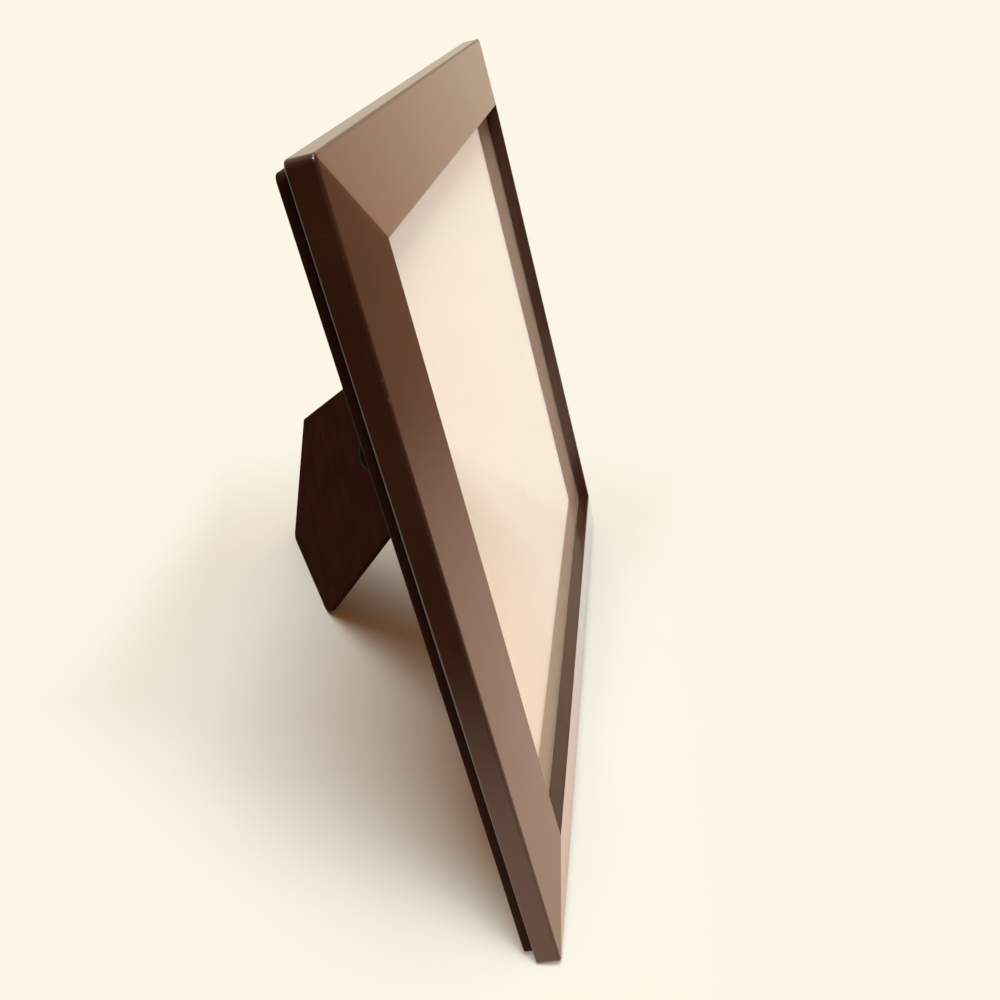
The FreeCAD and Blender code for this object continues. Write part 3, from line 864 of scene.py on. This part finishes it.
def floor():
    """A pale cloth on the table, with soft creases, that fades into a plain cream backdrop.

    The camera sees the fade close round the shadow, and gloss sees it farther out, where the room takes over.
    """
    mesh = bpy.data.meshes.new("floor")
    corners = rectangle(-HALF_FLOOR, HALF_FLOOR, -HALF_FLOOR, HALF_FLOOR)
    mesh.from_pydata([(*corner, 0) for corner in corners], [], [(0, 1, 2, 3)])
    material, tree, skin = new_material("cream_cloth")
    path = put(tree, "ShaderNodeLightPath").outputs
    in_gloss = path["Is Glossy Ray"]
    where = put(tree, "ShaderNodeTexCoord").outputs["Object"]
    spot = parts_of(tree, where)

    creases = {"Vector": where, "Scale": 3.2, "Detail": 3.0, "Distortion": 0.8}
    folds = put(tree, "ShaderNodeTexNoise", creases).outputs[0]
    cloth = blend_colour(tree, ramp(tree, folds, FOLD_SPAN), FLOOR_SHADE, FLOOR_LIGHT)
    paler = ramp(tree, calc(tree, "MULTIPLY_ADD", spot[0], PALER_SLANT, spot[1]), PALER_SPAN)
    mirrored = blend_colour(tree, paler, WARM_FLOOR, PALE_FLOOR)
    cloth = blend_colour(tree, in_gloss, cloth, mirrored)
    dim = ramp(tree, spot[0], DIM_SIDE_SPAN, interpolation_type="SMOOTHSTEP")
    dim = calc(tree, "MULTIPLY", dim, rest_of(tree, path["Is Camera Ray"]))
    tree.links.new(blend_colour(tree, dim, cloth, DIM_SIDE), skin.inputs["Base Color"])
    bump = put(tree, "ShaderNodeBump", {"Height": folds, "Strength": 0.25, "Distance": 0.02})
    tree.links.new(bump.outputs[0], skin.inputs["Normal"])
    skin.inputs["Roughness"].default_value = 0.9
    skin.inputs["Specular IOR Level"].default_value = 0.2

    distance = put(tree, "ShaderNodeVectorMath", {0: where}, operation="LENGTH").outputs["Value"]
    hastened = calc(tree, "MULTIPLY", distance, calc(tree, "MULTIPLY_ADD", paler, PALER_HASTE, 1.0))
    around = ramp(tree, distance, SEEN_FADE, interpolation_type="SMOOTHSTEP")
    past = ramp(tree, past_edges(tree, spot), EDGE_FADE, interpolation_type="SMOOTHSTEP")
    farther = ramp(tree, hastened, MIRRORED_FADE, interpolation_type="SMOOTHSTEP")
    nearby = calc(tree, "MAXIMUM", around, past)
    away = put(tree, "ShaderNodeMix", {0: in_gloss, 2: nearby, 3: farther}).outputs[0]

    direction = put(tree, "ShaderNodeVectorMath", {0: where}, operation="NORMALIZE").outputs[0]
    room = put(tree, "ShaderNodeGroup", {"Direction": direction}, node_tree=ROOM).outputs
    roomward = ramp(tree, distance, FAR_SPAN)
    dimmer = calc(tree, "MULTIPLY", ramp(tree, distance, DIMMER_SPAN), rest_of(tree, paler))
    tint = blend_colour(tree, calc(tree, "MAXIMUM", roomward, dimmer), mirrored, room["Tint"])
    weaker = calc(tree, "MULTIPLY_ADD", roomward, ROOM_STRENGTH - 1.0, 1.0)
    strength = calc(tree, "MULTIPLY", calc(tree, "MAXIMUM", room["Level"], paler), weaker)
    plain = put(tree, "ShaderNodeEmission", {"Color": (*BACKDROP, 1.0), "Strength": 1.0}).outputs[0]
    in_room = put(tree, "ShaderNodeEmission", {"Color": tint, "Strength": strength}).outputs[0]
    far = put(tree, "ShaderNodeMixShader", {0: in_gloss, 1: plain, 2: in_room}).outputs[0]

    seen = calc(tree, "MAXIMUM", path["Is Camera Ray"], in_gloss)
    seen = calc(tree, "MAXIMUM", seen, path["Is Transmission Ray"])
    share = calc(tree, "MULTIPLY", calc(tree, "MULTIPLY", away, seen), rest_of(tree, dim))
    whole = put(tree, "ShaderNodeMixShader", {0: share, 1: skin.outputs[0], 2: far}).outputs[0]
    tree.links.new(whole, tree.nodes["Material Output"].inputs["Surface"])
    new_piece("floor", mesh, material)


def surroundings():
    """Soft warm light from all round. The camera sees plain cream there, and gloss sees the room."""
    world = bpy.data.worlds.new("studio")
    bpy.context.scene.world = world
    world.use_nodes = True
    tree = world.node_tree
    soft = tree.nodes["Background"]
    soft.inputs["Color"].default_value = SOFT_LIGHT
    soft.inputs["Strength"].default_value = SOFT_STRENGTH
    seen = put(tree, "ShaderNodeBackground", {"Color": (*BACKDROP, 1.0), "Strength": 1.0})
    where = put(tree, "ShaderNodeTexCoord").outputs["Generated"]
    room = put(tree, "ShaderNodeGroup", {"Direction": where}, node_tree=ROOM).outputs
    strength = calc(tree, "MULTIPLY", room["Level"], ROOM_STRENGTH)
    mirrored = put(tree, "ShaderNodeBackground", {"Color": room["Tint"], "Strength": strength})
    path = put(tree, "ShaderNodeLightPath").outputs
    bounced = calc(tree, "MAXIMUM", path["Is Glossy Ray"], path["Is Transmission Ray"])
    first = put(tree, "ShaderNodeMixShader", {0: bounced, 1: soft.outputs[0], 2: mirrored.outputs[0]})
    last = put(tree, "ShaderNodeMixShader", {0: path["Is Camera Ray"], 1: first.outputs[0], 2: seen.outputs[0]})
    tree.links.new(last.outputs[0], tree.nodes["World Output"].inputs[0])


def softbox(name, place, aim, size, power, tint, in_gloss=True):
    """A rectangular lamp that faces its aim, and that the camera doesn't see."""
    lamp = bpy.data.lights.new(name, "AREA")
    lamp.shape = "RECTANGLE"
    lamp.size, lamp.size_y = size
    lamp.energy = power
    lamp.color = tint
    box = bpy.data.objects.new(name, lamp)
    bpy.context.scene.collection.objects.link(box)
    box.location = place
    box.rotation_mode = "QUATERNION"
    box.rotation_quaternion = (Vector(aim) - Vector(place)).to_track_quat("-Z", "Y")
    box.visible_camera = False
    box.visible_glossy = in_gloss


EYE = Vector((-398.83, -84.17, 282.52)) * MM
EYE_RIGHT = Vector((0.1047, -0.9945, 0.0))
EYE_FORWARD = Vector((0.8913, 0.0940, -0.4436))
SENSOR_WIDTH = 36.0         # mm, as is the focal length
FOCAL_LENGTH = 41.53
CLIP_NEAR, CLIP_FAR = 0.01, 50.0


def camera():
    """Where the photograph was taken from: left of the frame and a little above it, looking along its face."""
    lens = bpy.data.cameras.new("camera")
    lens.sensor_width = SENSOR_WIDTH
    lens.lens = FOCAL_LENGTH
    lens.clip_start = CLIP_NEAR
    lens.clip_end = CLIP_FAR
    eye = bpy.data.objects.new("camera", lens)
    bpy.context.scene.collection.objects.link(eye)
    right = EYE_RIGHT.normalized()
    forward = EYE_FORWARD.normalized()
    facing = Matrix((right, right.cross(forward), -forward)).transposed()
    eye.matrix_world = Matrix.Translation(EYE) @ facing.to_4x4()
    bpy.context.scene.camera = eye


def dress_solids():
    """Materials for the solids that stay as they are."""
    for node, material in {
        "corner_nails": BARE_STEEL,
        "photo_insert": PRINT_PAPER,
        "filler_board": FILLER_CARD,
        "hinge_pin": BARE_STEEL,
        "hinge_door_leaf": BLACK_LEAF,
        "hinge_leg_leaf": BLACK_LEAF,
    }.items():
        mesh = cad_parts[node].data
        mesh.materials.clear()
        mesh.materials.append(material)


bpy.context.scene.view_settings.view_transform = "Standard"
camera()
floor()
surroundings()
softbox(
    "key", place=(-0.58, -0.15, 1.38), aim=(0, -0.02, 0.05), size=(0.62, 0.62), power=21.1,
    tint=(0.7625, 0.921, 1.0),
)
softbox(
    "front", place=(0.0, -1.4, 1.2), aim=(0, 0, 0.08), size=(1.4, 1.0), power=3.5, tint=(0.94, 0.97, 1.0),
    in_gloss=False,
)
moulding()
pane()
strips()
door()
leg()
for side in ("bottom", "right", "top", "left"):
    button = "turn_button_" + side
    softened(button.replace("turn_", ""), button, BUTTON_EASE, BLACK_STEEL, button)
all_fasteners()
dress_solids()
